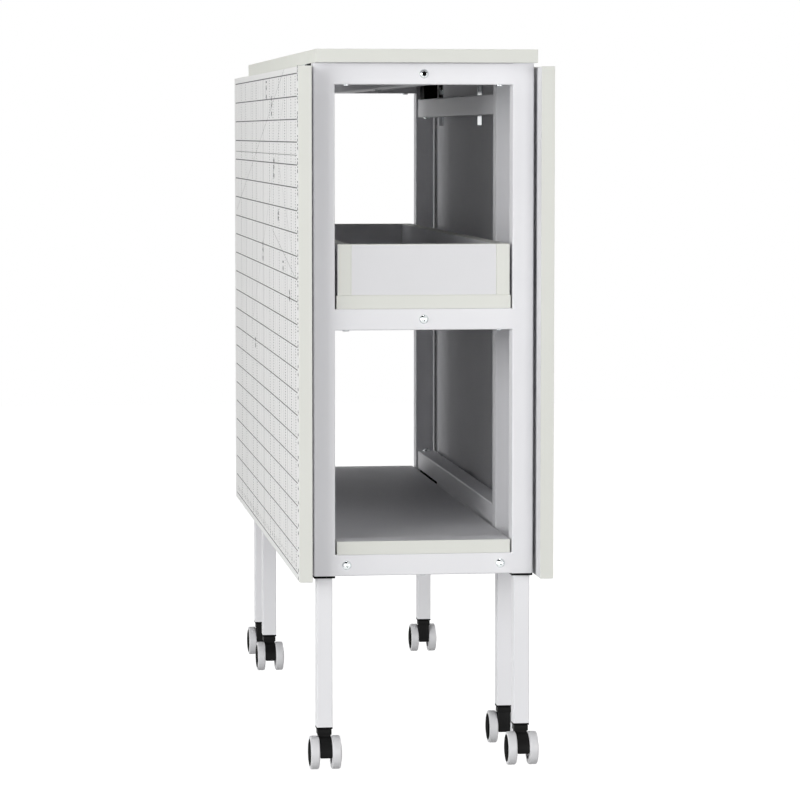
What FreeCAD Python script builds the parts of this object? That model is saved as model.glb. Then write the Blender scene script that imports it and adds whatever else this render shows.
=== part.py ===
import FreeCAD, Part
import os
import re

# Folding sewing cutting table, folded: a narrow wheeled frame under a fixed top panel, with a
# hanging leaf and a swinging gate leg on each side. Millimetres, +Z up, origin on the floor
# below the middle of the top. X runs across the table, Y along it.

DIMENSIONS = (
    ("table_height", 810, "floor to top face"),
    ("board", 15, "thickness of every board"),
    ("leaf_overreach", 3.25, "free edge of a hanging leaf below the posts"),
    ("leaf_gap", 2, "joint between top panel and raised leaf"),
    ("frame_width", 249, "over the posts, and width of the top panel"),
    ("frame_length", 860, "over the posts"),
    ("end_overhang", 27, "top panel and leaves beyond the posts, each end"),
    ("tube", 24, "square frame tube"),
    ("tube_wall", 1.5, "wall of the frame tube"),
    ("tube_corner", 1.5, "outer corner radius of the frame tube"),
    ("tray_level", 520.5, "floor to underside of the tray"),
    ("tray_wall_height", 57.5, "tray walls above the tray floor"),
    ("shelf_level", 243.5, "floor to underside of the lower shelf"),
    ("board_clearance", 2, "tray and shelf to the posts, each side"),
    ("low_beam_inset", 1, "post to the side of a low beam"),
    ("gate_setback", 122, "end of the frame to the gate upright"),
    ("gate_drop", 8.5, "top rail to the top arm of a gate"),
    ("low_arm_rise", 15.6, "shelf level to the low arm of a gate"),
    ("upright_rise", 13.5, "gate upright above its top arm"),
    ("pivot_setback", 24, "post to the gate pivot axis"),
    ("pivot_block_width", 18, "across the frame"),
    ("pivot_block_length", 38, "along the frame"),
    ("low_block_height", 24, "depth of the block under the low arm"),
    ("leg_tube", 18, "square leg tube"),
    ("leg_wall", 1.2, "wall of the leg tube"),
    ("leg_corner", 1.2, "outer corner radius of the leg tube"),
    ("leg_length", 380, "whole leg tube"),
    ("slide_clearance", 0.2, "leg to collar, each side"),
    ("seat_clearance", 0.1, "pushed-in plastic pieces, each side"),
    ("collar_flange", 2.5, "collar below the post"),
    ("collar_sleeve", 30, "collar inside the post"),
    ("lock_rise", 42, "post end to the lock screw"),
    ("lock_radius", 3, "lock screw shank"),
    ("lock_head_radius", 4.5, "lock screw head"),
    ("lock_head_height", 2, "lock screw head"),
    ("bolt_radius", 3, "frame and pivot bolt shank"),
    ("bolt_head_radius", 5.2, "button head"),
    ("bolt_head_height", 3, "button head"),
    ("bolt_socket", 2.3, "hexagon socket, centre to corner"),
    ("bolt_socket_depth", 1.8, "hexagon socket"),
    ("bolt_taper", 1.976, "button head, seat radius less top radius"),
    ("pivot_bolt_bite", 18, "pivot bolt inside its block"),
    ("bolt_grip", 12, "bolt inside the beam insert"),
    ("insert_depth", 15, "threaded insert in a beam end"),
    ("bolt_clearance", 0.2, "bolt in its fixed holes, radius"),
    ("running_clearance", 0.05, "pins in their turning holes, radius"),
    ("turning_gap", 0.3, "flat faces that turn past each other"),
    ("screw_radius", 2, "board screw shank"),
    ("screw_head_radius", 4, "board screw head"),
    ("screw_head_height", 1.6, "board screw head"),
    ("screw_bite", 10, "board screw inside the board"),
    ("screw_inset", 13.5, "post to the middle of a board screw"),
    ("hinge_axis_drop", 3, "top panel underside to hinge axis"),
    ("hinge_axis_reach", 1.25, "top panel edge to hinge axis"),
    ("hinge_setback", 80, "end of the frame to the middle of an end hinge"),
    ("hinge_width", 34, "hinge plate along the table"),
    ("hinge_length", 65, "hinge axis to the end of a plate"),
    ("hinge_plate", 1.5, "hinge plate thickness"),
    ("knuckle_radius", 2.6, "hinge barrel"),
    ("knuckle_length", 12, "middle part of the hinge barrel"),
    ("hinge_relief", 3.5, "hinge axis to the full plate"),
    ("hinge_pin_radius", 1.2, "hinge pin"),
    ("hinge_screw_near", 20, "hinge axis to the first screws"),
    ("hinge_screw_far", 50, "hinge axis to the last screws"),
    ("hinge_screw_offset", 10, "plate middle to a screw"),
    ("hinge_screw_radius", 1.6, "hinge screw shank"),
    ("hinge_head_radius", 3.2, "hinge screw head"),
    ("hinge_head_height", 0.8, "hinge screw head"),
    ("wheel_radius", 19, "caster wheel"),
    ("wheel_width", 10.2, "one wheel of a twin caster"),
    ("wheel_edge", 2, "rounded edge of the tyre"),
    ("hub_radius", 15, "hub cap"),
    ("hub_recess", 1.5, "hub cap recess"),
    ("hub_cap", 1.2, "hub cap thickness"),
    ("caster_trail", 10, "swivel axis to wheel axis"),
    ("caster_crown", 6.7, "wheel top to the top of the housing"),
    ("housing_width", 13.5, "housing between the wheels"),
    ("housing_radius", 17, "rounded housing outline"),
    ("housing_drop", 6.3, "wheel axis to the bottom of the housing"),
    ("neck_width", 16, "square neck of the housing"),
    ("neck_height", 6.4, "square neck of the housing"),
    ("stem_radius", 4, "caster stem"),
    ("stem_length", 25, "caster stem"),
    ("axle_radius", 2.5, "caster axle"),
    ("plug_flange", 1.5, "leg plug below the leg"),
    ("plug_length", 30, "leg plug inside the leg"),
)

doc = FreeCAD.newDocument("FoldingCuttingTable")
sheet = doc.addObject("Spreadsheet::Sheet", "Dimensions")
for row, (alias, value, note) in enumerate(DIMENSIONS, start=1):
    sheet.set(f"A{row}", note)
    sheet.set(f"B{row}", str(value))
    sheet.setAlias(f"B{row}", alias)
doc.recompute()

# Levels and places that follow from the driving dimensions
HALF_WIDTH = "frame_width / 2"
HALF_LENGTH = "frame_length / 2"
POST_IN_X = "(frame_width / 2 - tube)"
POST_IN_Y = "(frame_length / 2 - tube)"
POST_X = "(frame_width / 2 - tube / 2)"
POST_Y = "(frame_length / 2 - tube / 2)"
BOARD_X = f"({POST_IN_X} - board_clearance)"
LOW_BEAM_X = f"({POST_IN_X} - low_beam_inset - tube / 2)"
SCREW_X = f"({POST_IN_X} - screw_inset)"
PANEL_BOTTOM = "(table_height - board)"
TOP_RAIL = "(table_height - board - tube)"
MID_RAIL = "(tray_level - tube)"
LOW_RAIL = "(shelf_level - tube)"
TRAY_FLOOR_TOP = "(tray_level + board)"
TOP_HALF_LENGTH = "(frame_length / 2 + end_overhang)"
HINGE_X = "(frame_width / 2 + hinge_axis_reach)"
HINGE_Z = "(table_height - board - hinge_axis_drop)"
LEAF_IN_X = f"({HINGE_X} + hinge_axis_drop)"
LEAF_TOP = f"({HINGE_Z} - leaf_gap + hinge_axis_reach)"
LEAF_BOTTOM = f"({LOW_RAIL} - leaf_overreach)"
GATE_NEAR_Y = "(gate_setback - frame_length / 2)"
PIVOT_Y = f"({POST_IN_Y} - pivot_setback)"
TOP_ARM_TOP = f"({TOP_RAIL} - gate_drop)"
LOW_ARM = "(shelf_level + low_arm_rise)"
NECK_TOP = "(2 * wheel_radius + caster_crown)"
PLUG_BOTTOM = f"({NECK_TOP} + turning_gap)"
LEG_BOTTOM = f"({PLUG_BOTTOM} + plug_flange)"
HINGE_Y = "(frame_length / 2 - hinge_setback)"
HINGE_PLACES = (f"-{HINGE_Y}", "0", HINGE_Y)
SIDES = (("left", -1), ("right", 1))
ENDS = (("front", -1), ("rear", 1))

nodes = []


def bind(item, prop, text):
    """Bind a property to an expression of the sheet's aliases."""
    named = re.sub(r"[a-z][a-z_]*", lambda word: "Dimensions." + word.group(0), text)
    item.setExpression(prop, named)


def place(item, x, y, z):
    """Bind the base point of an object."""
    for letter, text in zip("xyz", (x, y, z)):
        bind(item, f"Placement.Base.{letter}", text)
    return item


def span(sign, near, far):
    """Low and high end of a stretch, mirrored for the negative side."""
    if sign > 0:
        return near, far
    return f"-({far})", f"-({near})"


def about(middle, size):
    """Low and high end of a stretch of the given size round its middle."""
    return f"({middle}) - ({size}) / 2", f"({middle}) + ({size}) / 2"


def box(name, x, y, z):
    """Block from low to high in each direction."""
    item = doc.addObject("Part::Box", name)
    for prop, (low, high) in zip(("Length", "Width", "Height"), (x, y, z)):
        bind(item, prop, f"({high}) - ({low})")
    return place(item, x[0], y[0], z[0])


def turned(item, base, direction):
    """Stand a round or prismatic object on a base point, pointing in a direction."""
    turn = FreeCAD.Rotation(FreeCAD.Vector(0, 0, 1), FreeCAD.Vector(*direction))
    item.Placement = FreeCAD.Placement(FreeCAD.Vector(), turn)
    return place(item, *base)


def cylinder(name, base, direction, radius, height):
    item = doc.addObject("Part::Cylinder", name)
    bind(item, "Radius", radius)
    bind(item, "Height", height)
    return turned(item, base, direction)


def cone(name, base, direction, radius, end_radius, height):
    item = doc.addObject("Part::Cone", name)
    bind(item, "Radius1", radius)
    bind(item, "Radius2", end_radius)
    bind(item, "Height", height)
    return turned(item, base, direction)


def hexagon(name, base, direction, circumradius, height):
    item = doc.addObject("Part::Prism", name)
    item.Polygon = 6
    bind(item, "Circumradius", circumradius)
    bind(item, "Height", height)
    return turned(item, base, direction)


def cut(name, base, *tools):
    """Base less every tool."""
    tool = tools[0]
    if len(tools) > 1:
        tool = group(name + "_tools", tools)
    item = doc.addObject("Part::Cut", name)
    item.Base = base
    item.Tool = tool
    return item


def fuse(name, *items):
    item = doc.addObject("Part::MultiFuse", name)
    item.Shapes = list(items)
    item.Refine = True
    return item


def group(name, items):
    """Separate solids kept together."""
    item = doc.addObject("Part::Compound", name)
    item.Links = list(items)
    return item


def rounded(name, base, along, alias):
    """Round a block's four edges that run along one axis."""
    doc.recompute()
    radius = float(sheet.get(alias))
    item = doc.addObject("Part::Fillet", name)
    item.Base = base
    edges = []
    for number, edge in enumerate(base.Shape.Edges, start=1):
        first, last = (vertex.Point for vertex in edge.Vertexes)
        if abs((last - first).normalize().dot(FreeCAD.Vector(*along))) > 0.5:
            edges.append((number, radius, radius))
    item.Edges = edges
    return item


def square_tube(name, x, y, z, along, wall, corner):
    """Hollow square tube, open at both ends."""
    outer = rounded(name + "_rounded", box(name + "_outer", x, y, z), along, corner)
    inner = []
    for (low, high), run in zip((x, y, z), along):
        inset = f"-{wall}" if run else wall
        inner.append((f"({low}) + ({inset})", f"({high}) - ({inset})"))
    return cut(name + "_tube", outer, box(name + "_bore", *inner))


def finish(name, *items):
    """Name one node, of one solid or of a group of separate solids."""
    item = items[0] if len(items) == 1 else group(name + "_group", items)
    item.Label = name
    nodes.append(item)
    return item


def shifted(base, direction, distance):
    """Point moved along an axis direction by an expression."""
    moved = []
    for text, step in zip(base, direction):
        moved.append(text if step == 0 else f"({text}) + ({step}) * ({distance})")
    return tuple(moved)


def button_bolt(name, seat, direction, shank):
    """Button head bolt: its head sits on the seat and its shank points in the direction."""
    back = tuple(-step for step in direction)
    head = cone(name + "_head", seat, back, "bolt_head_radius", "bolt_head_radius - bolt_taper",
                "bolt_head_height")
    body = fuse(name + "_body", head,
                cylinder(name + "_shank", seat, direction, "bolt_radius", shank))
    top = shifted(seat, back, "bolt_head_height")
    socket = hexagon(name + "_socket", top, direction, "bolt_socket", "bolt_socket_depth")
    return cut(name, body, socket)


def flat_screw(name, seat, direction, shank, sizes):
    """Plain headed screw with its head on the seat."""
    radius, head_radius, head_height = sizes
    back = tuple(-step for step in direction)
    return fuse(name, cylinder(name + "_head", seat, back, head_radius, head_height),
                cylinder(name + "_shank", seat, direction, radius, shank))


def hole(name, base, direction, radius, clearance, depth):
    return cylinder(name, base, direction, f"{radius} + {clearance}", depth)


BOARD_SCREW = ("screw_radius", "screw_head_radius", "screw_head_height")
HINGE_SCREW = ("hinge_screw_radius", "hinge_head_radius", "hinge_head_height")
UP = (0, 0, 1)
DOWN = (0, 0, -1)

# Board screws: place of the head below a tube, and the board that each one holds
rail_screw_places = [(x, y) for x in (SCREW_X, f"-{SCREW_X}") for y in (POST_Y, f"-{POST_Y}")]
screw_rows = (("panel_screw", TOP_RAIL, rail_screw_places + [("0", "0")]),
              ("tray_screw", MID_RAIL, rail_screw_places),
              ("shelf_screw", LOW_RAIL, [("0", POST_Y), ("0", f"-{POST_Y}")]))
board_screws = []
screw_holes = {}
for title, level, places in screw_rows:
    screw_holes[title] = []
    for number, (x, y) in enumerate(places, start=1):
        name = f"{title}_{number}"
        seat = (x, y, level)
        board_screws.append(flat_screw(name, seat, UP, "tube + screw_bite", BOARD_SCREW))
        screw_holes[title].append((x, y, level))


def screw_hole_cutters(owner, title):
    """Clearance holes for a row of board screws, through tube and into board."""
    cutters = []
    for number, base in enumerate(screw_holes[title], start=1):
        name = f"{owner}_{title}_hole_{number}"
        start = shifted(base, DOWN, "tube_wall")
        cutters.append(hole(name, start, UP, "screw_radius", "bolt_clearance",
                            "tube + tube_wall + screw_bite + bolt_clearance"))
    return cutters


def hinge_screw_seats(side, fixed):
    """Screw head seats on the three hinge plates of one side."""
    seats = []
    for middle in HINGE_PLACES:
        for reach in ("hinge_screw_near", "hinge_screw_far"):
            for offset in ("-hinge_screw_offset", "hinge_screw_offset"):
                y = f"{middle} + {offset}"
                if fixed:
                    seats.append((f"{side} * ({HINGE_X} - {reach})", y, f"{PANEL_BOTTOM} - hinge_plate"))
                else:
                    seats.append((f"{side} * ({LEAF_IN_X} - hinge_plate)", y, f"{HINGE_Z} - {reach}"))
    return seats


# Top panel
panel_holes = screw_hole_cutters("panel", "panel_screw")
for side_name, side in SIDES:
    for number, seat in enumerate(hinge_screw_seats(side, True), start=1):
        panel_holes.append(hole(f"panel_hinge_hole_{side_name}_{number}", seat, UP, "hinge_screw_radius",
                                "bolt_clearance", "hinge_plate + screw_bite + bolt_clearance"))
panel_blank = box("panel_blank", (f"-{HALF_WIDTH}", HALF_WIDTH), (f"-{TOP_HALF_LENGTH}", TOP_HALF_LENGTH),
                  (PANEL_BOTTOM, "table_height"))
finish("top_panel", cut("panel", panel_blank, *panel_holes))

# Posts with the lock screw holes in their outer faces
lock_screws = []


def lock_parts(name, side, middle_y):
    """Lock screw on a tube's outer face, and the hole that it passes through."""
    seat = (f"{side} * {HALF_WIDTH}", middle_y, f"{LOW_RAIL} + lock_rise")
    inward = (-side, 0, 0)
    sizes = ("lock_radius", "lock_head_radius", "lock_head_height")
    screw = flat_screw(name + "_lock", seat, inward, "(tube - leg_tube) / 2 - turning_gap", sizes)
    opening = hole(name + "_lock_hole", shifted(seat, inward, "-tube_wall"), inward, "lock_radius",
                   "bolt_clearance", "3 * tube_wall")
    return screw, opening


for end_name, end in ENDS:
    for side_name, side in SIDES:
        name = f"post_{end_name}_{side_name}"
        post = square_tube(name, span(side, POST_IN_X, HALF_WIDTH), span(end, POST_IN_Y, HALF_LENGTH),
                           (LOW_RAIL, PANEL_BOTTOM), UP, "tube_wall", "tube_corner")
        screw, opening = lock_parts(name, side, f"{end} * {POST_Y}")
        lock_screws.append(screw)
        finish(name, cut(name + "_drilled", post, opening))
finish("leg_lock_screws", *lock_screws)

# Rails between the posts, beams between the rails, and the bolts through them
BEAMS = (("top_beam", TOP_RAIL, ("0",)), ("mid_beam", MID_RAIL, ("0",)),
         ("low_beams", LOW_RAIL, (f"-{LOW_BEAM_X}", LOW_BEAM_X)))
RAIL_SCREWS = {"top_beam": "panel_screw", "mid_beam": "tray_screw", "low_beams": "shelf_screw"}
rails = []
inserts = []
frame_bolts = []
for beam_name, level, middles in BEAMS:
    height = (level, f"{level} + tube")
    bolt_level = f"{level} + tube / 2"
    for end_name, end in ENDS:
        name = f"{end_name}_{beam_name}_rail"
        rail = square_tube(name, (f"-{POST_IN_X}", POST_IN_X), span(end, POST_IN_Y, HALF_LENGTH), height,
                           (1, 0, 0), "tube_wall", "tube_corner")
        cutters = screw_hole_cutters(name, RAIL_SCREWS[beam_name])
        inward = (0, -end, 0)
        for number, middle in enumerate(middles, start=1):
            seat = (middle, f"{end} * {HALF_LENGTH}", bolt_level)
            tag = f"{end_name}_{beam_name}_{number}"
            frame_bolts.append(button_bolt(tag + "_bolt", seat, inward, "tube + bolt_grip"))
            start = shifted(seat, inward, "-tube_wall")
            cutters.append(hole(tag + "_bolt_hole", start, inward, "bolt_radius", "bolt_clearance",
                                "tube + 2 * tube_wall"))
            bore = "tube - 2 * tube_wall - 2 * seat_clearance"
            insert = box(tag + "_insert_blank", about(middle, bore),
                         span(end, f"{POST_IN_Y} - insert_depth", POST_IN_Y), about(bolt_level, bore))
            thread = hole(tag + "_thread", seat, inward, "bolt_radius", "bolt_clearance",
                          "2 * tube + insert_depth")
            inserts.append(cut(tag + "_insert", insert, thread))
        rails.append(cut(name + "_drilled", rail, *cutters))
    beams = []
    for number, middle in enumerate(middles, start=1):
        beam = square_tube(f"{beam_name}_{number}", about(middle, "tube"), (f"-{POST_IN_Y}", POST_IN_Y),
                           height, (0, 1, 0), "tube_wall", "tube_corner")
        if beam_name == "top_beam":
            beam = cut(beam_name + "_drilled", beam, *screw_hole_cutters(beam_name, "panel_screw"))
        beams.append(beam)
    finish(beam_name, *beams)
finish("end_rails", *rails)
finish("beam_inserts", *inserts)
finish("frame_bolts", *frame_bolts)

# Lower shelf and open tray
board_span_x = (f"-{BOARD_X}", BOARD_X)
board_span_y = (f"-{HALF_LENGTH}", HALF_LENGTH)
shelf_blank = box("shelf_blank", board_span_x, board_span_y, ("shelf_level", "shelf_level + board"))
finish("lower_shelf", cut("shelf", shelf_blank, *screw_hole_cutters("shelf", "shelf_screw")))
tray_blank = box("tray_blank", board_span_x, board_span_y, ("tray_level", TRAY_FLOOR_TOP))
finish("tray_floor", cut("tray", tray_blank, *screw_hole_cutters("tray", "tray_screw")))
wall_height = (TRAY_FLOOR_TOP, f"{TRAY_FLOOR_TOP} + tray_wall_height")
tray_walls = []
for side_name, side in SIDES:
    tray_walls.append(box(f"tray_side_{side_name}", span(side, f"{BOARD_X} - board", BOARD_X), board_span_y,
                          wall_height))
for end_name, end in ENDS:
    tray_walls.append(box(f"tray_end_{end_name}", (f"board - {BOARD_X}", f"{BOARD_X} - board"),
                          span(end, f"{HALF_LENGTH} - board", HALF_LENGTH), wall_height))
finish("tray_walls", *tray_walls)
finish("panel_screws", *board_screws)


def collar(name, x, y):
    """Plastic collar at the mouth of a post: a flange below and a sleeve inside."""
    flange = rounded(name + "_flange", box(name + "_flange_blank", about(x, "tube"), about(y, "tube"),
                                           (f"{LOW_RAIL} - collar_flange", LOW_RAIL)), UP, "tube_corner")
    outer = "tube - 2 * tube_wall - 2 * seat_clearance"
    sleeve = box(name + "_sleeve", about(x, outer), about(y, outer),
                 (LOW_RAIL, f"{LOW_RAIL} + collar_sleeve"))
    inner = "leg_tube + 2 * slide_clearance"
    bore = box(name + "_bore", about(x, inner), about(y, inner),
               (f"{LOW_RAIL} - 2 * collar_flange", f"{LOW_RAIL} + 2 * collar_sleeve"))
    return cut(name, fuse(name + "_body", flange, sleeve), bore)


collars = []
for end_name, end in ENDS:
    for side_name, side in SIDES:
        collars.append(collar(f"collar_{end_name}_{side_name}", f"{side} * {POST_X}", f"{end} * {POST_Y}"))
finish("post_collars", *collars)

# Gate legs: an upright, two arms and the fixed pivots. The left gate is the right one turned half round.
pivot_blocks = []
pivot_bolts = []
ARM_ROWS = (("top", f"{TOP_ARM_TOP} - tube", 1), ("low", LOW_ARM, -1))
for side_name, side in SIDES:
    gate_x = span(side, POST_IN_X, HALF_WIDTH)
    pivot_x = f"{side} * {POST_X}"
    pivot_y = f"{side} * {PIVOT_Y}"
    upright_y = f"{side} * ({GATE_NEAR_Y} + tube / 2)"
    name = f"gate_{side_name}_upright"
    upright = square_tube(name, gate_x, span(side, GATE_NEAR_Y, f"{GATE_NEAR_Y} + tube"),
                          (LOW_RAIL, f"{TOP_ARM_TOP} + upright_rise"), UP, "tube_wall", "tube_corner")
    screw, opening = lock_parts(name, side, upright_y)
    finish(name, cut(name + "_drilled", upright, opening))
    finish(f"gate_{side_name}_lock_screw", screw)
    finish(f"gate_{side_name}_collar", collar(f"gate_collar_{side_name}", pivot_x, upright_y))
    arms = []
    for arm_name, level, outward in ARM_ROWS:
        name = f"gate_{side_name}_{arm_name}_arm"
        height = (level, f"{level} + tube")
        arm_far = span(side, f"{GATE_NEAR_Y} + tube", PIVOT_Y)
        blank = rounded(name + "_rounded", box(name + "_blank", gate_x, arm_far, height), (0, 1, 0),
                        "tube_corner")
        eye = cylinder(name + "_eye", (pivot_x, pivot_y, level), UP, "tube / 2", "tube")
        bore = box(name + "_bore", span(side, f"{POST_IN_X} + tube_wall", f"{HALF_WIDTH} - tube_wall"),
                   span(side, GATE_NEAR_Y, f"{PIVOT_Y} - tube / 2"),
                   (f"{level} + tube_wall", f"{level} + tube - tube_wall"))
        pin_hole = hole(name + "_pin_hole", (pivot_x, pivot_y, f"{level} - tube"), UP, "bolt_radius",
                        "running_clearance", "3 * tube")
        arms.append(cut(name, fuse(name + "_body", blank, eye), bore, pin_hole))

        # The pivot block is above the top arm and below the low arm, against the post.
        block_face = f"{level} + tube + turning_gap" if outward > 0 else f"{level} - turning_gap"
        if outward > 0:
            block_z = (block_face, PANEL_BOTTOM)
            seat_z = f"{level} - turning_gap"
        else:
            block_z = (f"{block_face} - low_block_height", block_face)
            seat_z = f"{level} + tube + turning_gap"
        tag = f"pivot_{side_name}_{arm_name}"
        block = box(tag + "_block_blank", span(side, f"{HALF_WIDTH} - pivot_block_width", HALF_WIDTH),
                    span(side, f"{POST_IN_Y} - pivot_block_length", POST_IN_Y), block_z)
        direction = (0, 0, outward)
        seat = (pivot_x, pivot_y, seat_z)
        reach = "tube + 2 * turning_gap + pivot_bolt_bite"
        block_hole = hole(tag + "_hole", seat, direction, "bolt_radius", "running_clearance",
                          f"{reach} + turning_gap")
        pivot_blocks.append(cut(tag + "_block", block, block_hole))
        pivot_bolts.append(button_bolt(tag + "_bolt", seat, direction, reach))
    finish(f"gate_{side_name}_arms", *arms)
finish("gate_pivot_blocks", *pivot_blocks)
finish("gate_pivot_bolts", *pivot_bolts)

# Leaves and their hinges. A plate and its outer knuckles stay on the panel, a plate and its middle
# knuckle hang with the leaf.
fixed_plates = []
hinge_pins = []
panel_hinge_screws = []
for side_name, side in SIDES:
    axis_x = f"{side} * {HINGE_X}"
    leaf_plates = []
    for number, middle in enumerate(HINGE_PLACES, start=1):
        tag = f"hinge_{side_name}_{number}"
        width = about(middle, "hinge_width")
        under = (f"{PANEL_BOTTOM} - hinge_plate", PANEL_BOTTOM)
        plate = box(tag + "_plate", span(side, f"{HINGE_X} - hinge_length", f"{HINGE_X} - hinge_relief"),
                    width, under)
        pieces = [plate]
        bore_start = (axis_x, f"{middle} - hinge_width", HINGE_Z)
        for end_name, end in ENDS:
            tab_near = f"({middle}) + {end} * (knuckle_length / 2 + turning_gap)"
            tab_far = f"({middle}) + {end} * hinge_width / 2"
            tab = (tab_near, tab_far) if end > 0 else (tab_far, tab_near)
            pieces.append(box(f"{tag}_tab_{end_name}", span(side, f"{HINGE_X} - hinge_relief", HINGE_X),
                              tab, under))
            pieces.append(cylinder(f"{tag}_knuckle_{end_name}", (axis_x, tab_near, HINGE_Z), (0, end, 0),
                                   "knuckle_radius", "hinge_width / 2 - knuckle_length / 2 - turning_gap"))
        fixed_bore = hole(tag + "_fixed_bore", bore_start, (0, 1, 0), "hinge_pin_radius",
                          "running_clearance", "2 * hinge_width")
        fixed_plates.append((tag, pieces, fixed_bore))
        hinge_pins.append(cylinder(tag + "_pin", (axis_x, width[0], HINGE_Z), (0, 1, 0), "hinge_pin_radius",
                                   "hinge_width"))
        inner_face = span(side, f"{LEAF_IN_X} - hinge_plate", LEAF_IN_X)
        swing_plate = box(tag + "_swing_plate", inner_face, width,
                          (f"{HINGE_Z} - hinge_length", f"{HINGE_Z} - hinge_relief"))
        swing_tab = box(tag + "_swing_tab", inner_face, about(middle, "knuckle_length"),
                        (f"{HINGE_Z} - hinge_relief", HINGE_Z))
        swing_start = (axis_x, f"({middle}) - knuckle_length / 2", HINGE_Z)
        swing_knuckle = cylinder(tag + "_swing_knuckle", swing_start, (0, 1, 0), "knuckle_radius",
                                 "knuckle_length")
        swing_bore = hole(tag + "_swing_bore", bore_start, (0, 1, 0), "hinge_pin_radius",
                          "running_clearance", "2 * hinge_width")
        swing = fuse(tag + "_swing", swing_plate, swing_tab, swing_knuckle)
        leaf_plates.append((tag + "_leaf", swing, swing_bore))

    # Screws through the plates, and their holes
    leaf_seats = hinge_screw_seats(side, False)
    panel_seats = hinge_screw_seats(side, True)
    outward = (side, 0, 0)
    depth = "hinge_plate + screw_bite"
    leaf_screws = []
    leaf_cutters = []
    for number, seat in enumerate(leaf_seats, start=1):
        name = f"leaf_{side_name}_screw_{number}"
        leaf_screws.append(flat_screw(name, seat, outward, depth, HINGE_SCREW))
        leaf_cutters.append(hole(name + "_hole", seat, outward, "hinge_screw_radius", "bolt_clearance",
                                 f"{depth} + bolt_clearance"))
    for number, seat in enumerate(panel_seats, start=1):
        name = f"panel_{side_name}_screw_{number}"
        panel_hinge_screws.append(flat_screw(name, seat, UP, depth, HINGE_SCREW))
    leaf_blank = box(f"leaf_{side_name}_blank", span(side, LEAF_IN_X, f"{LEAF_IN_X} + board"),
                     (f"-{TOP_HALF_LENGTH}", TOP_HALF_LENGTH), (LEAF_BOTTOM, LEAF_TOP))
    finish(f"leaf_{side_name}", cut(f"leaf_{side_name}_drilled", leaf_blank, *leaf_cutters))
    finish(f"leaf_{side_name}_screws", *leaf_screws)
    drilled = []
    for number, (name, swing, bore) in enumerate(leaf_plates):
        own = [hole(f"{name}_screw_hole_{index}", shifted(leaf_seats[index], outward, "-hinge_plate"),
                    outward, "hinge_screw_radius", "bolt_clearance", "3 * hinge_plate")
               for index in range(4 * number, 4 * number + 4)]
        drilled.append(cut(name, swing, bore, *own))
    finish(f"leaf_{side_name}_hinge_plates", *drilled)

    first = len(fixed_plates) - len(HINGE_PLACES)
    for number in range(len(HINGE_PLACES)):
        tag, pieces, bore = fixed_plates[first + number]
        own = [hole(f"{tag}_screw_hole_{index}", shifted(panel_seats[index], UP, "-hinge_plate"), UP,
                    "hinge_screw_radius", "bolt_clearance", "3 * hinge_plate")
               for index in range(4 * number, 4 * number + 4)]
        fixed_plates[first + number] = cut(tag, fuse(tag + "_body", *pieces), bore, *own)
finish("panel_hinge_plates", *fixed_plates)
finish("hinge_pins", *hinge_pins)
finish("hinge_screws", *panel_hinge_screws)

# Telescopic legs and twin-wheel casters: place of each leg and the way its wheels trail
GATE_LEG_Y = f"({GATE_NEAR_Y} + tube / 2)"
LEGS = (("front_left", -1, f"-{POST_Y}", -1), ("front_right", 1, f"-{POST_Y}", -1),
        ("rear_left", -1, POST_Y, 1), ("rear_right", 1, POST_Y, 1),
        ("gate_left", -1, f"-{GATE_LEG_Y}", -1), ("gate_right", 1, GATE_LEG_Y, 1))


def leg(name, x, y):
    tube = square_tube(f"leg_{name}", about(x, "leg_tube"), about(y, "leg_tube"),
                       (LEG_BOTTOM, f"{LEG_BOTTOM} + leg_length"), UP, "leg_wall", "leg_corner")
    finish(f"leg_{name}", tube)


def plug(name, x, y):
    """Plastic plug in the foot of a leg, with the socket for the caster stem."""
    flange = rounded(f"plug_{name}_flange", box(f"plug_{name}_flange_blank", about(x, "leg_tube"),
                                                about(y, "leg_tube"), (PLUG_BOTTOM, LEG_BOTTOM)), UP,
                     "leg_corner")
    size = "leg_tube - 2 * leg_wall - 2 * seat_clearance"
    body = box(f"plug_{name}_body", about(x, size), about(y, size),
               (LEG_BOTTOM, f"{LEG_BOTTOM} + plug_length"))
    socket = hole(f"plug_{name}_socket", (x, y, f"{PLUG_BOTTOM} - turning_gap"), UP, "stem_radius",
                  "running_clearance", "stem_length + 3 * turning_gap")
    finish(f"plug_{name}", cut(f"plug_{name}_bored", fuse(f"plug_{name}_whole", flange, body), socket))


def housing(name, x, y, trail):
    """Caster housing: a rounded web between the wheels, a square neck and the swivel stem."""
    axle_y = f"({y}) + ({trail}) * caster_trail"
    half = "housing_width / 2"
    web = cylinder(f"caster_{name}_web", (f"({x}) - {half}", axle_y, "wheel_radius"), (1, 0, 0),
                   "housing_radius", "housing_width")
    below = box(f"caster_{name}_below", about(x, "2 * housing_width"), about(axle_y, "4 * housing_radius"),
                ("-housing_radius", "wheel_radius - housing_drop"))
    trimmed = cut(f"caster_{name}_trimmed", web, below)
    neck = box(f"caster_{name}_neck", about(x, "neck_width"), about(y, "neck_width"),
               (f"{NECK_TOP} - neck_height", NECK_TOP))
    column = box(f"caster_{name}_column", about(x, "housing_width"), about(y, "neck_width"),
                 ("wheel_radius", f"{NECK_TOP} - neck_height"))
    stem = cylinder(f"caster_{name}_stem", (x, y, NECK_TOP), UP, "stem_radius", "stem_length")
    axle_start = (f"({x}) - housing_width", axle_y, "wheel_radius")
    axle_hole = hole(f"caster_{name}_axle_hole", axle_start, (1, 0, 0), "axle_radius", "running_clearance",
                     "2 * housing_width")
    whole = fuse(f"caster_{name}_whole", trimmed, neck, column, stem)
    finish(f"caster_{name}_housing", cut(f"caster_{name}_bored", whole, axle_hole))


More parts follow.
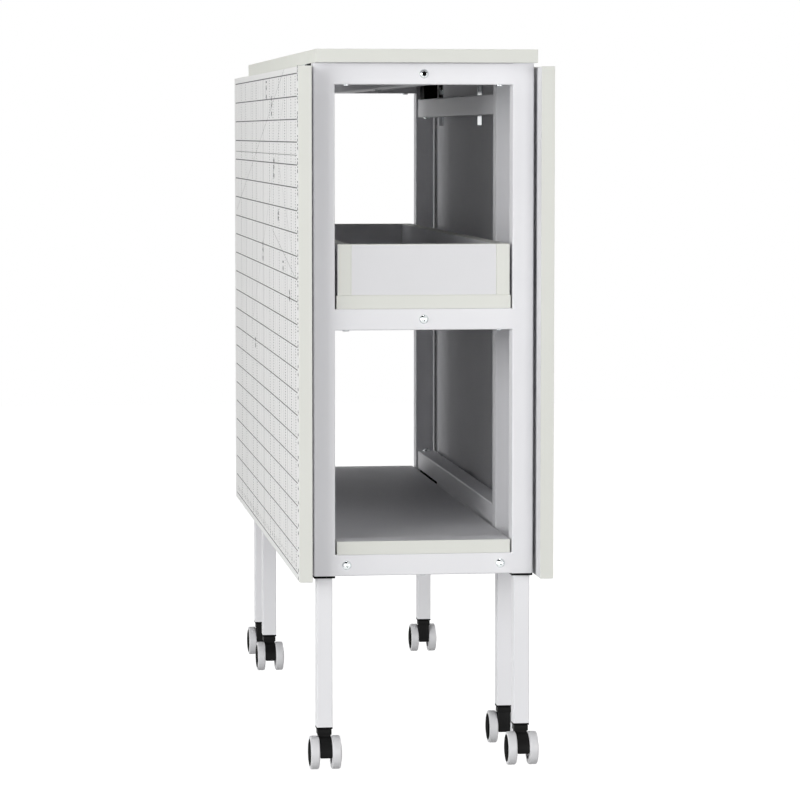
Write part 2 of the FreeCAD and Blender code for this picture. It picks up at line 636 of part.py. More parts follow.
def wheels(name, x, y, trail):
    """Two wheels with hub caps on one axle."""
    axle_y = f"({y}) + ({trail}) * caster_trail"
    inner = "(housing_width / 2 + turning_gap)"
    floor = f"({inner} + wheel_width - hub_recess)"
    solids = [cylinder(f"caster_{name}_axle", (f"({x}) - {floor}", axle_y, "wheel_radius"), (1, 0, 0),
                       "axle_radius", f"2 * {floor}")]
    for side_name, side in SIDES:
        tag = f"caster_{name}_{side_name}"
        out = (side, 0, 0)
        face = (f"({x}) + ({side}) * {inner}", axle_y, "wheel_radius")
        shoulder = shifted(face, out, "wheel_edge")
        crown = shifted(face, out, "wheel_width - wheel_edge")
        tyre = fuse(tag + "_tyre_body",
                    cone(tag + "_inner_edge", face, out, "wheel_radius - wheel_edge / 2", "wheel_radius",
                         "wheel_edge"),
                    cylinder(tag + "_tread", shoulder, out, "wheel_radius", "wheel_width - 2 * wheel_edge"),
                    cone(tag + "_outer_edge", crown, out, "wheel_radius", "wheel_radius - wheel_edge / 2",
                         "wheel_edge"))
        seat = shifted(face, out, "wheel_width - hub_recess")
        recess = cylinder(tag + "_recess", seat, out, "hub_radius + bolt_clearance", "2 * hub_recess")
        bore = hole(tag + "_bore", shifted(face, out, "-wheel_edge"), out, "axle_radius",
                    "running_clearance", "2 * wheel_width")
        solids.append(cut(tag + "_tyre", tyre, recess, bore))
        solids.append(cylinder(tag + "_cap", seat, out, "hub_radius", "hub_cap"))
    finish(f"caster_{name}_wheels", *solids)


for name, side, leg_y, trail in LEGS:
    leg_x = f"{side} * {POST_X}"
    leg(name, leg_x, leg_y)
    plug(name, leg_x, leg_y)
    housing(name, leg_x, leg_y, trail)
    wheels(name, leg_x, leg_y, trail)

doc.recompute()

for item in doc.Objects:
    if "Invalid" in item.State or "Error" in item.State:
        raise RuntimeError(f"{item.Name} failed: {item.State}")
for item in nodes:
    if item.Shape.isNull() or not item.Shape.isValid():
        raise RuntimeError(f"{item.Label} has no valid shape")

os.makedirs("parts", exist_ok=True)
for item in nodes:
    item.Shape.exportStep(os.path.join("parts", item.Label + ".step"))
print(len(nodes), "nodes written")
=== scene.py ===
import math
import bpy
from mathutils import Matrix, Vector


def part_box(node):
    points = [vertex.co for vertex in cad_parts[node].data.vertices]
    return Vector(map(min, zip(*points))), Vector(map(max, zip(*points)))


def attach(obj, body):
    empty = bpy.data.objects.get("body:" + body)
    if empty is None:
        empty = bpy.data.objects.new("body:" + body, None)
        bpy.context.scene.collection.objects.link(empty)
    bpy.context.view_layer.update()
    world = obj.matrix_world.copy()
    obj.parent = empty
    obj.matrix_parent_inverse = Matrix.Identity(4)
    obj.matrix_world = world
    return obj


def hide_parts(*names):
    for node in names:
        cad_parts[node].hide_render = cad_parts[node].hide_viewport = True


# Folding sewing cutting table, folded. Metres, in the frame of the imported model:
# X across the table, Y along it from the front end to the rear end, Z up from the floor.

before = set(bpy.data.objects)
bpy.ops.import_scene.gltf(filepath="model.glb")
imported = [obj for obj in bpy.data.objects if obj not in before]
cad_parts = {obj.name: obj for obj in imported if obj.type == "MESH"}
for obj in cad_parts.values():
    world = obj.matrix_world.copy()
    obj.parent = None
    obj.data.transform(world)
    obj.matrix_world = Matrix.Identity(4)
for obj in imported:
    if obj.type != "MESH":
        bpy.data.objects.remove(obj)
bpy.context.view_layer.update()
MM = 0.001
INCH = 25.4 * MM
# Two measures closer than this count as the same
NEAR = 0.01 * MM


# Camera at the place fitted to the photograph's edges: low, in front and a little to the left
def aim(name, data, place, angles):
    thing = bpy.data.objects.new(name, data)
    thing.location = place
    thing.rotation_euler = [math.radians(angle) for angle in angles]
    bpy.context.scene.collection.objects.link(thing)
    return thing


lens = bpy.data.cameras.new("camera")
lens.sensor_width = 36
lens.lens = 152.43
lens.clip_end = 60
bpy.context.scene.camera = aim("camera", lens, (-0.5027, -4.1966, 0.7169), (85.496, 0, -7.196))
bpy.context.scene.view_settings.view_transform = "Standard"


# Materials: one function that turns a written colour to linear, one that adds a node
def colour(text):
    parts = [int(text[start:start + 2], 16) / 255 for start in (1, 3, 5)]
    return [part / 12.92 if part <= 0.04045 else ((part + 0.055) / 1.055) ** 2.4 for part in parts] + [1]


def add(tree, kind, inputs=(), **settings):
    """Add a node, set its settings, and fill or link its inputs."""
    item = tree.nodes.new(kind)
    for name, value in settings.items():
        setattr(item, name, value)
    for key, value in dict(inputs).items():
        if isinstance(value, bpy.types.NodeSocket):
            tree.links.new(value, item.inputs[key])
        else:
            item.inputs[key].default_value = value
    return item


def new_material(name):
    material = bpy.data.materials.new(name)
    material.use_nodes = True
    tree = material.node_tree
    tree.nodes.clear()
    return material, tree, add(tree, "ShaderNodeTexCoord").outputs["Object"]


# Size of the slow drift of colour over a finish
DRIFT = 70 * MM


def surface(name, tint, variation, rough, spread, grain_mm, bump_mm, sockets, stretch=(1, 1, 1)):
    """A finish with slow colour variation, uneven gloss and fine relief, at sizes in millimetres."""
    material, tree, place = new_material(name)
    drift = add(tree, "ShaderNodeTexNoise", {"Vector": place, "Scale": 1 / DRIFT, "Detail": 3})
    stretched = add(tree, "ShaderNodeMapping", {"Vector": place, "Scale": stretch})
    grain = add(tree, "ShaderNodeTexNoise", {"Vector": stretched.outputs[0], "Scale": 1 / (grain_mm * MM),
                                             "Detail": 2})
    tone = add(tree, "ShaderNodeMix", {0: drift.outputs[0], 6: colour(tint), 7: colour(variation)},
               data_type="RGBA")
    gloss = add(tree, "ShaderNodeMapRange", {0: grain.outputs[0], 1: 0.3, 2: 0.7, 3: rough - spread,
                                             4: rough + spread})
    relief = add(tree, "ShaderNodeBump", {"Height": grain.outputs[0], "Strength": 0.5,
                                          "Distance": bump_mm * MM})
    looks = {"Base Color": tone.outputs[2], "Roughness": gloss.outputs[0], "Normal": relief.outputs[0]}
    shader = add(tree, "ShaderNodeBsdfPrincipled", looks | sockets)
    add(tree, "ShaderNodeOutputMaterial", {"Surface": shader.outputs[0]})
    return material


# Powder-coated steel tube: a hard white skin with a faint orange peel and a soft sheen
POWDER_COAT = surface("powder_coated_steel", "#eaeaec", "#e6e6e9", 0.42, 0.05, 1.4, 0.02,
                      {"IOR": 1.5, "Specular IOR Level": 0.15})
# Melamine board: cool white paper face under matt resin, finely embossed, with hardly any gloss
MATT = {"IOR": 1.45, "Specular IOR Level": 0.03}
MELAMINE = surface("melamine_board", "#e2e2e4", "#dedee0", 0.58, 0.06, 0.7, 0.01, MATT)
# ABS edge band: a warmer white strip glued on the board's edges, with faint lines along it
EDGE_BAND = surface("abs_edge_band", "#e2e3dd", "#dedfd9", 0.55, 0.06, 1.0, 0.01, MATT, (1, 0.1, 0.1))
# Glass-filled nylon: collars, plugs and pivot blocks, black and slightly rough from the mould
NYLON = surface("black_nylon", "#0c0c0c", "#111112", 0.6, 0.08, 0.6, 0.03,
                {"IOR": 1.53, "Specular IOR Level": 0.03})
# Moulded polypropylene: caster housings, black with a low sheen
POLYPROPYLENE = surface("black_polypropylene", "#161616", "#1b1b1b", 0.5, 0.06, 0.8, 0.02,
                        {"IOR": 1.49, "Specular IOR Level": 0.06})
# Acetal: hub caps, a deeper black with hardly any gloss
ACETAL = surface("black_acetal", "#060606", "#090909", 0.6, 0.05, 1.2, 0.01,
                 {"IOR": 1.48, "Specular IOR Level": 0.01})
# Soft thermoplastic rubber: light grey tyres, dull, marked a little by the floor
TYRE = surface("grey_rubber_tyre", "#dddddf", "#d7d7d9", 0.42, 0.06, 0.9, 0.02,
               {"IOR": 1.5, "Specular IOR Level": 0.45})
# Bright nickel-plated steel: bolts and hinge plates that mirror the pale room
NICKEL = surface("nickel_plated_steel", "#e4e8e8", "#dde2e3", 0.14, 0.04, 0.5, 0.004, {"Metallic": 1.0})
# Zinc-plated steel: screws, pins and stems, silvery and duller than the bolts
ZINC = surface("zinc_plated_steel", "#c9ccce", "#bfc3c6", 0.3, 0.07, 0.6, 0.006, {"Metallic": 1.0})
# Painted shade: black steel laid in the sockets of bolt heads, where shade falls inside the socket
SOCKET_SHADE = surface("painted_socket_shade", "#060606", "#0a0a0a", 0.6, 0.05, 0.4, 0.004,
                {"IOR": 1.5, "Specular IOR Level": 0.05})
# Screen-printing ink: dark grey, thin and matt
INK = surface("printed_ink", "#29292b", "#343436", 0.55, 0.05, 0.4, 0.004, MATT)


# Measures of the print: first and last line across the table, and the lines that stand out or carry ticks
HALF_LENGTH = 457
CROSS_LINES = (-444.5 * MM, 444.5 * MM)
STRONG_LINES = (-317.5 * MM, 0)
RULERS = [number * INCH + CROSS_LINES[0] for number in (1, 3, 6, 9, 12, 14, 21.5, 24, 28, 31)]
# Lines drawn about twice as wide as a real print, so that they still show from across a room
LINE_WIDTH, LINE_INK = 1.2 * MM, 0.95
CROSS_WIDTH, CROSS_INK = 0.85 * MM, 0.8
STRONG_WIDTH, STRONG_INK = 2.2 * MM, 0.85
FINE_WIDTH, FINE_INK, SLANT_INK = 0.7 * MM, 0.85, 0.75
TICK_WIDTH, TICK_INK = 0.9 * MM, 0.95
TICK_LENGTH = 7 * MM
# Fine embossing of the printed face
EMBOSSING = 0.7 * MM


def stripe(tree, value, low, high, within, strength):
    """Ink of one band from low to high, cut to another mask and as strong as given."""
    middle, half = (low + high) / 2, (high - low) / 2
    band = add(tree, "ShaderNodeMath", {0: value, 1: middle, 2: half}, operation="COMPARE")
    kept = add(tree, "ShaderNodeMath", {0: band.outputs[0], 1: within}, operation="MULTIPLY")
    return add(tree, "ShaderNodeMath", {0: kept.outputs[0], 1: strength}, operation="MULTIPLY").outputs[0]


def ruling(tree, value, first, step, width, within, strength):
    """Ink of equal lines, a step apart."""
    start = 0.5 - first / step
    turns = add(tree, "ShaderNodeMath", {0: value, 1: 1 / step, 2: start}, operation="MULTIPLY_ADD")
    part = add(tree, "ShaderNodeMath", {0: turns.outputs[0]}, operation="FRACT")
    half = width / step / 2
    return stripe(tree, part.outputs[0], 0.5 - half, 0.5 + half, within, strength)


def printed_board(name, across_axis, turn, lines, faint, slants):
    """Melamine face with printed measuring lines one inch apart, rulers, angle lines and a clear margin.
    The lines run along Y; turn is -1 where the print is turned half round."""
    material, tree, place = new_material(name)
    turned = add(tree, "ShaderNodeMapping", {"Vector": place, "Scale": (1, turn, 1)}).outputs[0]
    parts = add(tree, "ShaderNodeSeparateXYZ", {0: turned})
    along = parts.outputs[1]
    across = parts.outputs[across_axis]
    (first, last), (front, rear) = lines, CROSS_LINES
    length = stripe(tree, along, front + 5 * MM, rear - 7 * MM, 1, 1)
    field = stripe(tree, across, first - 1 * MM, last + 1 * MM, length, 1)
    marks = [ruling(tree, across, first, INCH, LINE_WIDTH, field, LINE_INK),
             ruling(tree, along, front, INCH, CROSS_WIDTH, field, CROSS_INK)]
    for at in RULERS:
        rule = stripe(tree, along, at - TICK_LENGTH / 2, at + TICK_LENGTH / 2, field, 1)
        marks.append(ruling(tree, across, first, INCH / 8, TICK_WIDTH, rule, TICK_INK))
    for at in STRONG_LINES:
        marks.append(stripe(tree, along, at - STRONG_WIDTH / 2, at + STRONG_WIDTH / 2, field, STRONG_INK))
    for at in faint:
        marks.append(stripe(tree, across, at - FINE_WIDTH / 2, at + FINE_WIDTH / 2, field, FINE_INK))
    for start, end in slants:
        run = Vector(end) - Vector(start)
        normal = Vector((-run.y, run.x)).normalized()
        axis = [0, 0, 0]
        axis[1] = normal.x
        axis[across_axis] = normal.y
        level = add(tree, "ShaderNodeVectorMath", {0: turned, 1: axis}, operation="DOT_PRODUCT")
        offset = normal.dot(Vector(start))
        reach = stripe(tree, along, start[0], end[0], 1, 1)
        marks.append(stripe(tree, level.outputs["Value"], offset - FINE_WIDTH / 2, offset + FINE_WIDTH / 2,
                            reach, SLANT_INK))
    ink = marks[0]
    for mark in marks[1:]:
        ink = add(tree, "ShaderNodeMath", {0: ink, 1: mark}, operation="MAXIMUM").outputs[0]
    drift = add(tree, "ShaderNodeTexNoise", {"Vector": place, "Scale": 1 / DRIFT, "Detail": 3})
    grain = add(tree, "ShaderNodeTexNoise", {"Vector": place, "Scale": 1 / EMBOSSING, "Detail": 2}).outputs[0]
    # Painted light: the paper of the printed outer faces is set lighter than the plain melamine, standing in
    # for the light that falls on them
    painted_light_paper = add(tree, "ShaderNodeMix", {0: drift.outputs[0], 6: colour("#f3f3f2"), 7: colour("#eeeeed")},
                data_type="RGBA")
    tone = add(tree, "ShaderNodeMix", {0: ink, 6: painted_light_paper.outputs[2], 7: colour("#3a3a3c")}, data_type="RGBA")
    gloss = add(tree, "ShaderNodeMapRange", {0: grain, 1: 0.3, 2: 0.7, 3: 0.5, 4: 0.62})
    relief = add(tree, "ShaderNodeBump", {"Height": grain, "Strength": 0.5, "Distance": 0.01 * MM})
    looks = {"Base Color": tone.outputs[2], "Roughness": gloss.outputs[0], "Normal": relief.outputs[0]}
    shader = add(tree, "ShaderNodeBsdfPrincipled", looks | MATT)
    add(tree, "ShaderNodeOutputMaterial", {"Surface": shader.outputs[0]})
    return material


def on_leaf(*places):
    """Places on a leaf's print: from its front end and above the floor, in millimetres."""
    return [((y - HALF_LENGTH) * MM, z * MM) for y, z in places]


LEAF_LINES = (224.35 * MM, 783.15 * MM)
LEAF_FAINT = (692.4 * MM,)
LEAF_SLANTS = [on_leaf((170, 791), (880, 613)), on_leaf((160, 770), (640, 467)),
               on_leaf((25, 553), (330, 601)), on_leaf((25, 553), (260, 689))]
LEFT_PRINT = printed_board("printed_leaf_left", 2, 1, LEAF_LINES, LEAF_FAINT, LEAF_SLANTS)
RIGHT_PRINT = printed_board("printed_leaf_right", 2, -1, LEAF_LINES, LEAF_FAINT, LEAF_SLANTS)
TOP_LINES = (-114.3 * MM, 114.3 * MM)
PANEL_PRINT = printed_board("printed_top", 0, 1, TOP_LINES, (0,), [])


# Modelling helpers
def start_fresh():
    if bpy.context.object and bpy.context.object.mode != "OBJECT":
        bpy.ops.object.mode_set(mode="OBJECT")
    bpy.ops.object.select_all(action="DESELECT")


def settle(name):
    """Name the active object and put its place in its mesh."""
    piece = bpy.context.object
    piece.name = name
    piece.data.name = name
    bpy.ops.object.transform_apply(location=True, rotation=True, scale=True)
    return piece


def block(name, low, high):
    """Box between two corners, ready to be shaped."""
    start_fresh()
    low, high = Vector(low), Vector(high)
    bpy.ops.mesh.primitive_cube_add(size=1, location=(low + high) / 2)
    bpy.context.object.scale = high - low
    return settle(name)


def rod(name, base, direction, radius, length, sides=48):
    """Round bar from a base point along a direction, ready to be shaped."""
    start_fresh()
    direction = Vector(direction).normalized()
    bpy.ops.mesh.primitive_cylinder_add(vertices=sides, radius=radius, depth=length)
    turn = Vector((0, 0, 1)).rotation_difference(direction).to_matrix().to_4x4()
    bpy.context.object.matrix_world = Matrix.Translation(Vector(base) + direction * length / 2) @ turn
    return settle(name)


def pick(piece, test, kind="face"):
    """Select a piece's faces or edges for which the test holds, and go to edit mode."""
    start_fresh()
    piece.select_set(True)
    bpy.context.view_layer.objects.active = piece
    mesh = piece.data
    bpy.ops.object.mode_set(mode="EDIT")
    bpy.ops.mesh.select_mode(type=kind.upper())
    bpy.ops.mesh.select_all(action="DESELECT")
    bpy.ops.object.mode_set(mode="OBJECT")
    if kind == "face":
        for face in mesh.polygons:
            face.select = test(face)
    else:
        for edge in mesh.edges:
            edge.select = test([mesh.vertices[end].co for end in edge.vertices])
    bpy.ops.object.mode_set(mode="EDIT")


def soften(piece, radius, segments=3, test=lambda ends: True):
    """Round a piece's edges."""
    pick(piece, test, "edge")
    bpy.ops.mesh.bevel(offset=radius, segments=segments, affect="EDGES", clamp_overlap=True)
    bpy.ops.object.mode_set(mode="OBJECT")
    return piece


def smooth(piece, angle=35):
    start_fresh()
    piece.select_set(True)
    bpy.context.view_layer.objects.active = piece
    bpy.ops.object.shade_smooth_by_angle(angle=math.radians(angle))
    return piece


def cut_away(piece, tool):
    """Take a tool's shape out of a piece."""
    start_fresh()
    bpy.context.view_layer.objects.active = piece
    cutting = piece.modifiers.new("cut", "BOOLEAN")
    cutting.operation = "DIFFERENCE"
    cutting.object = tool
    bpy.ops.object.modifier_apply(modifier=cutting.name)
    bpy.data.objects.remove(tool)
    return piece


def join(name, pieces):
    start_fresh()
    for piece in pieces:
        piece.select_set(True)
    bpy.context.view_layer.objects.active = pieces[0]
    bpy.ops.object.join()
    return settle(name)


def copy(piece, name, turn):
    """Copy with its own mesh, put in place by a matrix."""
    twin = piece.copy()
    twin.data = piece.data.copy()
    bpy.context.scene.collection.objects.link(twin)
    twin.matrix_world = turn
    start_fresh()
    twin.select_set(True)
    bpy.context.view_layer.objects.active = twin
    return settle(name)


def discard(*pieces):
    for piece in pieces:
        bpy.data.objects.remove(piece)


def paint(piece, *materials):
    piece.data.materials.clear()
    for material in materials:
        piece.data.materials.append(material)
    return piece


def carry(piece, body, slot, *nodes):
    """Make a finished piece ride a body and stand for CAD nodes, which are hidden. The slot is not used."""
    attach(piece, body)
    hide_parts(*nodes)
    return piece


# Boards: melamine faces, edge bands on all four edges, arrises broken by a fine radius
ARRIS = 0.6 * MM


def board(name, low, high, thin, front_face=None):
    """Board whose faces look along the thin axis. A front face gets a printed material on the given side."""
    piece = soften(block(name, low, high), ARRIS)
    printed, side = front_face or (None, 0)
    paint(piece, EDGE_BAND, MELAMINE, *([printed] if printed else []))
    for face in piece.data.polygons:
        if abs(face.normal[thin]) > 0.99:
            face.material_index = 2 if printed and face.normal[thin] * side > 0 else 1
    return piece


PRINT_DEPTH = 0.05 * MM
low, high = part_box("top_panel")
panel = board("top_board", low, high - Vector((0, 0, PRINT_DEPTH)), 2, (PANEL_PRINT, 1))
carry(panel, "frame", "white_board", "top_panel")
for side_name, side, print_face in (("left", -1, LEFT_PRINT), ("right", 1, RIGHT_PRINT)):
    low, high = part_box(f"leaf_{side_name}")
    if side < 0:
        low = low + Vector((PRINT_DEPTH, 0, 0))
    else:
        high = high - Vector((PRINT_DEPTH, 0, 0))
    leaf = board(f"leaf_board_{side_name}", low, high, 0, (print_face, side))
    carry(leaf, f"{side_name}_leaf", "white_board", f"leaf_{side_name}")
carry(board("tray_floor_board", *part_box("tray_floor"), 2), "frame", "white_board", "tray_floor")
carry(board("shelf_board", *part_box("lower_shelf"), 2), "frame", "white_board", "lower_shelf")
low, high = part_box("tray_walls")
thick = 15 * MM
TRAY_STEP = 1.2 * MM
tray_boards = []
for side in (-1, 1):
    outer = side * (high.x - TRAY_STEP)
    x_low, x_high = sorted((outer, outer - side * thick))
    tray_boards.append(board("tray_side", (x_low, low.y, low.z), (x_high, high.y, high.z), 0))
for end in (-1, 1):
    y_low, y_high = (low.y, low.y + thick) if end < 0 else (high.y - thick, high.y)
    reach = high.x - TRAY_STEP - thick
    tray_boards.append(board("tray_end", (-reach, y_low, low.z), (reach, y_high, high.z), 1))
carry(join("tray_wall_boards", tray_boards), "frame", "white_board", "tray_walls")


# Printed numbers: columns of plain numbers beside the lines, and a few beside the angle lines.
# Each kind has its size and the weight that thickens its strokes.
COLUMN_FIGURES = (9 * MM, 0.4 * MM)
ROW_FIGURES = (6 * MM, 0.2 * MM)
ANGLE_FIGURES = (15 * MM, 0.5 * MM)
EDGE_FIGURES = (5 * MM, 0.15 * MM)
FIGURE_GAP = 4.5
LEAF_FACE = 143.75 * MM
TOP_FACE = 810 * MM


def figures(name, text, place, angles, size, weight):
    """Plain numbers as thin ink, centred on a place."""
    start_fresh()
    bpy.ops.object.text_add(location=place, rotation=[math.radians(angle) for angle in angles])
    words = bpy.context.object.data
    words.body = text
    words.size = size
    words.offset = weight
    words.align_x = "CENTER"
    words.align_y = "CENTER"
    words.resolution_u = 1
    words.extrude = PRINT_DEPTH / 4
    bpy.ops.object.convert(target="MESH")
    return settle(name)


def leaf_figures(side_name, side, turn):
    """Numbers on a leaf's outer face: a column above and below the inch lines, a row along the lower edge,
    and loose ones beside the angle lines."""
    face = side * (LEAF_FACE - PRINT_DEPTH / 2)
    sideways = (90, 90 * turn, 90 * side)
    first, last = LEAF_LINES
    column = turn * (11 - HALF_LENGTH) * MM
    rows = []
    for number in range(round((last - first) / INCH) + 1):
        for gap in (-FIGURE_GAP, FIGURE_GAP):
            place = (face, column, first + number * INCH + gap * MM)
            rows.append(figures("column", str(number), place, sideways, *COLUMN_FIGURES))
    for number in range(1, 35):
        place = (face, turn * (CROSS_LINES[0] + number * INCH), 232 * MM)
        rows.append(figures("row", str(number), place, sideways, *ROW_FIGURES))
    field = (("12.5", 411, 770), ("22.5", 340, 749), ("30.5", 309, 675), ("45", 252, 620), ("67.5", 466, 571),
             ("10", 191, 564), ("75", 112, 532), ("90", 581, 450))
    for text, y, z in field:
        place = (face, turn * (y - HALF_LENGTH) * MM, z * MM)
        rows.append(figures("angle", text, place, sideways, *ANGLE_FIGURES))
    return paint(join(f"leaf_figures_{side_name}", rows), INK)


carry(leaf_figures("left", -1, 1), "left_leaf", "white_board")
carry(leaf_figures("right", 1, -1), "right_leaf", "white_board")
edge_rows = []
for number in range(36):
    for side in (-1, 1):
        along = side * (CROSS_LINES[0] + number * INCH + FIGURE_GAP * MM)
        place = (side * 119.5 * MM, along, TOP_FACE - PRINT_DEPTH / 2)
        edge_rows.append(figures("edge", str(number), place, (0, 0, 90 + 90 * side), *EDGE_FIGURES))
carry(paint(join("top_figures", edge_rows), INK), "frame", "white_board")


# Button-head bolts: a domed head with a hexagon socket
def button_bolt(radius, height, socket, depth, shank_radius, shank, socket_all_painted_shade=False):
    """Bolt standing on the origin with its head up."""
    ball = (radius ** 2 + height ** 2) / (2 * height)
    start_fresh()
    bpy.ops.mesh.primitive_uv_sphere_add(segments=64, ring_count=48, radius=ball,
                                         location=(0, 0, height - ball))
    head = settle("bolt_head")
    pick(head, lambda face: True)
    bpy.ops.mesh.bisect(plane_co=(0, 0, 0), plane_no=(0, 0, 1), use_fill=True, clear_inner=True)
    bpy.ops.object.mode_set(mode="OBJECT")
    cut_away(head, rod("socket", (0, 0, height - depth), (0, 0, 1), socket, depth * 2, 6))
    paint(head, NICKEL, SOCKET_SHADE)
    floor_level = height - depth
    # Painted shade: socket walls turned one way are painted black for the shade on that side of the socket; on
    # top bolts the whole socket, walls and floor, is painted black
    for part in head.data.polygons:
        in_socket = Vector(part.center[:2]).length < socket * 1.01 and part.center.z > 0
        if in_socket and part.normal.z < 0.5:
            part.material_index = 1 if socket_all_painted_shade or part.normal.y < -0.3 else 0
        elif in_socket and abs(part.center.z - floor_level) < NEAR:
            part.material_index = 1 if socket_all_painted_shade else 0
    stem = rod("bolt_stem", (0, 0, 0), (0, 0, -1), shank_radius, shank, 24)
    soften(stem, 0.4 * MM, 1, lambda ends: max(end.z for end in ends) < -shank * 0.9)
    # Painted shade: a small black fleck on the socket floor, off the middle, for the shaded corner of the
    # socket
    corner_place = (0.2 * MM, -socket * 0.65, floor_level)
    corner = rod("painted_shade_fleck", corner_place, (0, 0, 1), socket * 0.3, 0.2 * MM, 16)
    soften(corner, 0.1 * MM, 2, lambda ends: min(end.z for end in ends) > floor_level + 0.1 * MM)
    return smooth(join("bolt", [head, paint(stem, NICKEL), paint(corner, SOCKET_SHADE)]))


def cross_screw(radius, height, shank_radius, shank):
    """Pan-head screw with a cross recess, standing on the origin with its head up."""
    head = rod("screw_head", (0, 0, 0), (0, 0, 1), radius, height, 32)
    soften(head, height * 0.6, 4, lambda ends: min(end.z for end in ends) > height * 0.9)
    for reach, width in ((radius * 0.5, radius * 0.14), (radius * 0.14, radius * 0.5)):
        cut_away(head, block("slot", (-reach, -width, height * 0.4), (reach, width, height * 2)))
    stem = rod("screw_stem", (0, 0, 0), (0, 0, -1), shank_radius, shank, 16)
    soften(stem, shank_radius * 0.7, 2, lambda ends: max(end.z for end in ends) < -shank * 0.9)
    return paint(smooth(join("screw", [head, stem])), ZINC)


def facing(place, direction):
    """Matrix that stands a piece on a place with its top in a direction."""
    turn = Vector((0, 0, 1)).rotation_difference(Vector(direction)).to_matrix().to_4x4()
    return Matrix.Translation([value * MM for value in place]) @ turn


def spread(model, name, places):
    """Copies of one model, joined as one piece, at places in millimetres with their directions."""
    return join(name, [copy(model, f"{name}_{number}", facing(place, direction))
                       for number, (place, direction) in enumerate(places)])


# Places on the frame, in millimetres from its middle and above the floor that it stands on
ENDS = (-1, 1)
RAIL_LEVELS = (783, 508.5, 231.5)
END_FACE = 430
POST_INSIDE, POST_OUTSIDE = 100.5, 124.5
POST_X, POST_Y = 112.5, 418
UPRIGHT_Y = 296
PIVOT_Y = 382
PIVOT_HEADS = ((738.2, -1), (283.4, 1))
LOCK_LEVEL = 261.5
HINGE_X, HINGE_LEVEL = 125.75, 792
HINGE_PLACES = (-350, 0, 350)
PLATE = 1.5
PLATE_HOLES = [(reach, offset) for reach in (20, 50) for offset in (-10, 10)]
bolt = button_bolt(5.3 * MM, 3 * MM, 2.3 * MM, 1.8 * MM, 3 * MM, 36 * MM)
top_bolt = button_bolt(5.3 * MM, 3 * MM, 2.9 * MM, 2.2 * MM, 3 * MM, 36 * MM, True)
top_level, mid_level, low_level = RAIL_LEVELS
top_bolts = [((0, END_FACE * end, top_level), (0, end, 0)) for end in ENDS]
low_bolts = [((x, END_FACE * end, z), (0, end, 0)) for end in ENDS
             for x, z in ((0, mid_level), (-87.5, low_level), (87.5, low_level))]
rail_bolts = join("rail_bolts", [spread(top_bolt, "top_rail_bolts", top_bolts),
                                 spread(bolt, "low_rail_bolts", low_bolts)])
carry(rail_bolts, "frame", "bright_bolt", "frame_bolts")
pivot_bolts = [((POST_X * side, PIVOT_Y * side, z), (0, 0, up)) for side in ENDS for z, up in PIVOT_HEADS]
carry(spread(bolt, "pivot_bolts", pivot_bolts), "frame", "bright_bolt", "gate_pivot_bolts")
lock = button_bolt(4.5 * MM, 2 * MM, 1.8 * MM, 1.2 * MM, 3 * MM, 2.7 * MM)
post_locks = [((POST_OUTSIDE * side, POST_Y * end, LOCK_LEVEL), (side, 0, 0)) for side in ENDS for end in ENDS]
carry(spread(lock, "post_lock_screws", post_locks), "frame", "zinc_steel", "leg_lock_screws")
for side_name, side in (("left", -1), ("right", 1)):
    gate_lock = [((POST_OUTSIDE * side, -UPRIGHT_Y * side, LOCK_LEVEL), (side, 0, 0))]
    carry(spread(lock, f"gate_lock_{side_name}", gate_lock), f"{side_name}_gate", "zinc_steel",
          f"gate_{side_name}_lock_screw")
board_screw = cross_screw(4 * MM, 1.6 * MM, 2 * MM, 34 * MM)
under_rails = ((-87, 771), (87, 771), (-87, 496.5), (87, 496.5), (0, 219.5))
board_screws = [((x, POST_Y * end, z), (0, 0, -1)) for end in ENDS for x, z in under_rails]
board_screws.append(((0, 0, 771), (0, 0, -1)))
carry(spread(board_screw, "board_screws", board_screws), "frame", "zinc_steel", "panel_screws")
plate_screw = cross_screw(3.2 * MM, 0.8 * MM, 1.6 * MM, 11.5 * MM)
under_panel = [((side * (HINGE_X - reach), y + offset, HINGE_LEVEL + PLATE), (0, 0, -1)) for side in ENDS
               for y in HINGE_PLACES for reach, offset in PLATE_HOLES]
carry(spread(plate_screw, "panel_hinge_screws", under_panel), "frame", "zinc_steel", "hinge_screws")
for side_name, side in (("left", -1), ("right", 1)):
    on_plate = [((side * (HINGE_X + PLATE), y + offset, HINGE_LEVEL - reach), (-side, 0, 0))
                for y in HINGE_PLACES for reach, offset in PLATE_HOLES]
    carry(spread(plate_screw, f"leaf_hinge_screws_{side_name}", on_plate), f"{side_name}_leaf", "zinc_steel",
          f"leaf_{side_name}_screws")
discard(bolt, top_bolt, lock, board_screw, plate_screw)

# Ground welds: where a rail meets a post, the joint is filled and painted over, flush with both
TUBE_CORNER = 1.5 * MM
HALF_TUBE = 12
welds = []
for end in ENDS:
    face = end * END_FACE * MM
    y_low, y_high = sorted((face, face - end * TUBE_CORNER))
    for side in ENDS:
        seam = side * POST_INSIDE * MM
        x_low, x_high = sorted((seam, seam + side * TUBE_CORNER))
        for level in RAIL_LEVELS:
            z_low, z_high = (level - HALF_TUBE) * MM, (level + HALF_TUBE) * MM
            weld = block("weld", (x_low, y_low, z_low), (x_high, y_high, z_high))
            soften(weld, TUBE_CORNER * 0.98, 4, lambda ends: abs(ends[0].z - ends[1].z) < NEAR
                   and all(abs(point.y - face) < NEAR for point in ends))
            welds.append(weld)
carry(paint(join("ground_welds", welds), POWDER_COAT), "frame", "white_steel")

# Twin-wheel casters: modelled once on a swivel axis at the origin, with the wheels trailing to -Y
TRAIL = 10 * MM
WHEEL = 19 * MM
TYRE_INNER = 7.05 * MM


